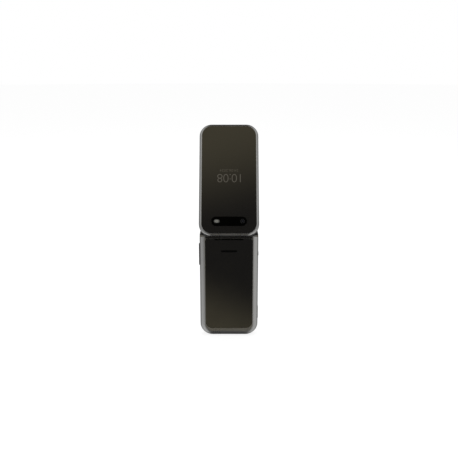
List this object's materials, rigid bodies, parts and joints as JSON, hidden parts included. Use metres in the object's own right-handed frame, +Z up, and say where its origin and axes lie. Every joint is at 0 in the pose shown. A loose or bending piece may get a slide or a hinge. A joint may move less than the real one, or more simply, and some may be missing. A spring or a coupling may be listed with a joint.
{
  "type": "flip phone",
  "caption": "Folding mobile phone, open, with a glossy black lid window and battery cover in silver frames, a keypad, an inner display and a camera by the hinge.",
  "frame": {"origin": "middle of the base's bottom end face, on which the open phone is drawn standing", "axes": "+Z up the base towards the hinge, -Y out of the back of the phone, +Y out of the keypad face, +X to the right seen from the back"},
  "size_m": [0.0551, 0.0548, 0.1928],
  "materials": {
    "silver_shell": "metallic silver paint",
    "black_shell": "glossy black",
    "cover_black": "glossy black",
    "outer_glass": "dark tinted, glossy",
    "pill_black": "glossy black",
    "display_lens": "dark tinted, glossy",
    "key_black": "glossy black",
    "key_silver": "satin silver paint",
    "inner_plastic": "matte black",
    "circuit_green": "solder resist",
    "rubber_dark": "matte",
    "rubber_silver": "painted",
    "membrane_grey": "matte",
    "steel": "plain",
    "contact_gold": "plated",
    "battery_can": "printed film",
    "lens_glass": "coated",
    "flash_white": "diffusing",
    "mesh_dark": "woven",
    "module_dark": "matte",
    "cable_amber": "polyimide film"
  },
  "bodies": {
    "base": {"base_frame": "silver_shell", "base_chassis": "inner_plastic", "keypad_fascia": "black_shell", "keypad_membrane": "membrane_grey", "main_circuit_board": "circuit_green", "shield_cans": "steel", "battery": "battery_can", "battery_contacts": "contact_gold", "loudspeaker": "module_dark", "vibration_motor": "steel", "microphone": "steel", "usb_port": "steel", "headset_jack": "inner_plastic", "memory_card_holder": "steel", "antenna": "inner_plastic", "base_screws": "steel", "hinge_pivot_sockets": "steel"},
    "lid": {"lid_frame": "silver_shell", "lid_outer_glass": "outer_glass", "camera_island": "pill_black", "flash_window": "flash_white", "camera_window": "lens_glass", "camera_module": "module_dark", "flash_led": "module_dark", "lid_inner_case": "black_shell", "main_display_lens": "display_lens", "main_display": "module_dark", "outer_display": "module_dark", "earpiece": "module_dark", "earpiece_mesh": "mesh_dark", "lid_bumpers": "rubber_dark", "lid_screws": "steel", "lid_circuit_board": "circuit_green", "lid_magnet": "steel", "hinge_cartridge": "steel", "hinge_bush": "steel", "hinge_flex_cable": "cable_amber"},
    "battery_cover": {"battery_cover": "cover_black", "speaker_mesh": "mesh_dark"},
    "port_cover": {"port_cover": "rubber_silver"},
    "volume_key": {"volume_key": "key_black"},
    "key_1": {"key_1": "key_black"},
    "key_2": {"key_2": "key_black"},
    "key_3": {"key_3": "key_black"},
    "key_4": {"key_4": "key_black"},
    "key_5": {"key_5": "key_black"},
    "key_6": {"key_6": "key_black"},
    "key_7": {"key_7": "key_black"},
    "key_8": {"key_8": "key_black"},
    "key_9": {"key_9": "key_black"},
    "key_star": {"key_star": "key_black"},
    "key_0": {"key_0": "key_black"},
    "key_hash": {"key_hash": "key_black"},
    "left_soft_key": {"left_soft_key": "key_black"},
    "right_soft_key": {"right_soft_key": "key_black"},
    "call_key": {"call_key": "key_black"},
    "end_key": {"end_key": "key_black"},
    "navigation_ring": {"navigation_ring": "key_silver"},
    "select_key": {"select_key": "key_black"}
  },
  "joints": [
    {"name": "lid_hinge", "type": "hinge", "parent": "base", "child": "lid", "pos_m": [0, 0.0046, 0.1002], "axis": [-1, 0, 0], "range_deg": [0, 153]},
    {"name": "battery_cover_lift", "type": "slide", "parent": "base", "child": "battery_cover", "axis": [0, -1, 0], "range_m": [0, 0.015]},
    {"name": "port_cover_swing", "type": "hinge", "parent": "base", "child": "port_cover", "pos_m": [0.0271, 0.0003, 0.0165], "axis": [0, 1, 0], "range_deg": [0, 90]},
    {"name": "volume_key_press", "type": "slide", "parent": "base", "child": "volume_key", "axis": [1, 0, 0], "range_m": [0, 0.0003], "stiffness_N_per_m": 500, "springref_m": -0.0002},
    {"name": "key_1_press", "type": "slide", "parent": "base", "child": "key_1", "axis": [0, -1, 0], "range_m": [0, 0.0003], "stiffness_N_per_m": 500, "springref_m": -0.0002},
    {"name": "key_2_press", "type": "slide", "parent": "base", "child": "key_2", "axis": [0, -1, 0], "range_m": [0, 0.0003], "stiffness_N_per_m": 500, "springref_m": -0.0002},
    {"name": "key_3_press", "type": "slide", "parent": "base", "child": "key_3", "axis": [0, -1, 0], "range_m": [0, 0.0003], "stiffness_N_per_m": 500, "springref_m": -0.0002},
    {"name": "key_4_press", "type": "slide", "parent": "base", "child": "key_4", "axis": [0, -1, 0], "range_m": [0, 0.0003], "stiffness_N_per_m": 500, "springref_m": -0.0002},
    {"name": "key_5_press", "type": "slide", "parent": "base", "child": "key_5", "axis": [0, -1, 0], "range_m": [0, 0.0003], "stiffness_N_per_m": 500, "springref_m": -0.0002},
    {"name": "key_6_press", "type": "slide", "parent": "base", "child": "key_6", "axis": [0, -1, 0], "range_m": [0, 0.0003], "stiffness_N_per_m": 500, "springref_m": -0.0002},
    {"name": "key_7_press", "type": "slide", "parent": "base", "child": "key_7", "axis": [0, -1, 0], "range_m": [0, 0.0003], "stiffness_N_per_m": 500, "springref_m": -0.0002},
    {"name": "key_8_press", "type": "slide", "parent": "base", "child": "key_8", "axis": [0, -1, 0], "range_m": [0, 0.0003], "stiffness_N_per_m": 500, "springref_m": -0.0002},
    {"name": "key_9_press", "type": "slide", "parent": "base", "child": "key_9", "axis": [0, -1, 0], "range_m": [0, 0.0003], "stiffness_N_per_m": 500, "springref_m": -0.0002},
    {"name": "key_star_press", "type": "slide", "parent": "base", "child": "key_star", "axis": [0, -1, 0], "range_m": [0, 0.0003], "stiffness_N_per_m": 500, "springref_m": -0.0002},
    {"name": "key_0_press", "type": "slide", "parent": "base", "child": "key_0", "axis": [0, -1, 0], "range_m": [0, 0.0003], "stiffness_N_per_m": 500, "springref_m": -0.0002},
    {"name": "key_hash_press", "type": "slide", "parent": "base", "child": "key_hash", "axis": [0, -1, 0], "range_m": [0, 0.0003], "stiffness_N_per_m": 500, "springref_m": -0.0002},
    {"name": "left_soft_key_press", "type": "slide", "parent": "base", "child": "left_soft_key", "axis": [0, -1, 0], "range_m": [0, 0.0003], "stiffness_N_per_m": 500, "springref_m": -0.0002},
    {"name": "right_soft_key_press", "type": "slide", "parent": "base", "child": "right_soft_key", "axis": [0, -1, 0], "range_m": [0, 0.0003], "stiffness_N_per_m": 500, "springref_m": -0.0002},
    {"name": "call_key_press", "type": "slide", "parent": "base", "child": "call_key", "axis": [0, -1, 0], "range_m": [0, 0.0003], "stiffness_N_per_m": 500, "springref_m": -0.0002},
    {"name": "end_key_press", "type": "slide", "parent": "base", "child": "end_key", "axis": [0, -1, 0], "range_m": [0, 0.0003], "stiffness_N_per_m": 500, "springref_m": -0.0002},
    {"name": "navigation_ring_press", "type": "slide", "parent": "base", "child": "navigation_ring", "axis": [0, -1, 0], "range_m": [0, 0.0003], "stiffness_N_per_m": 500, "springref_m": -0.0002},
    {"name": "select_key_press", "type": "slide", "parent": "base", "child": "select_key", "axis": [0, -1, 0], "range_m": [0, 0.0003], "stiffness_N_per_m": 500, "springref_m": -0.0002}
  ]
}
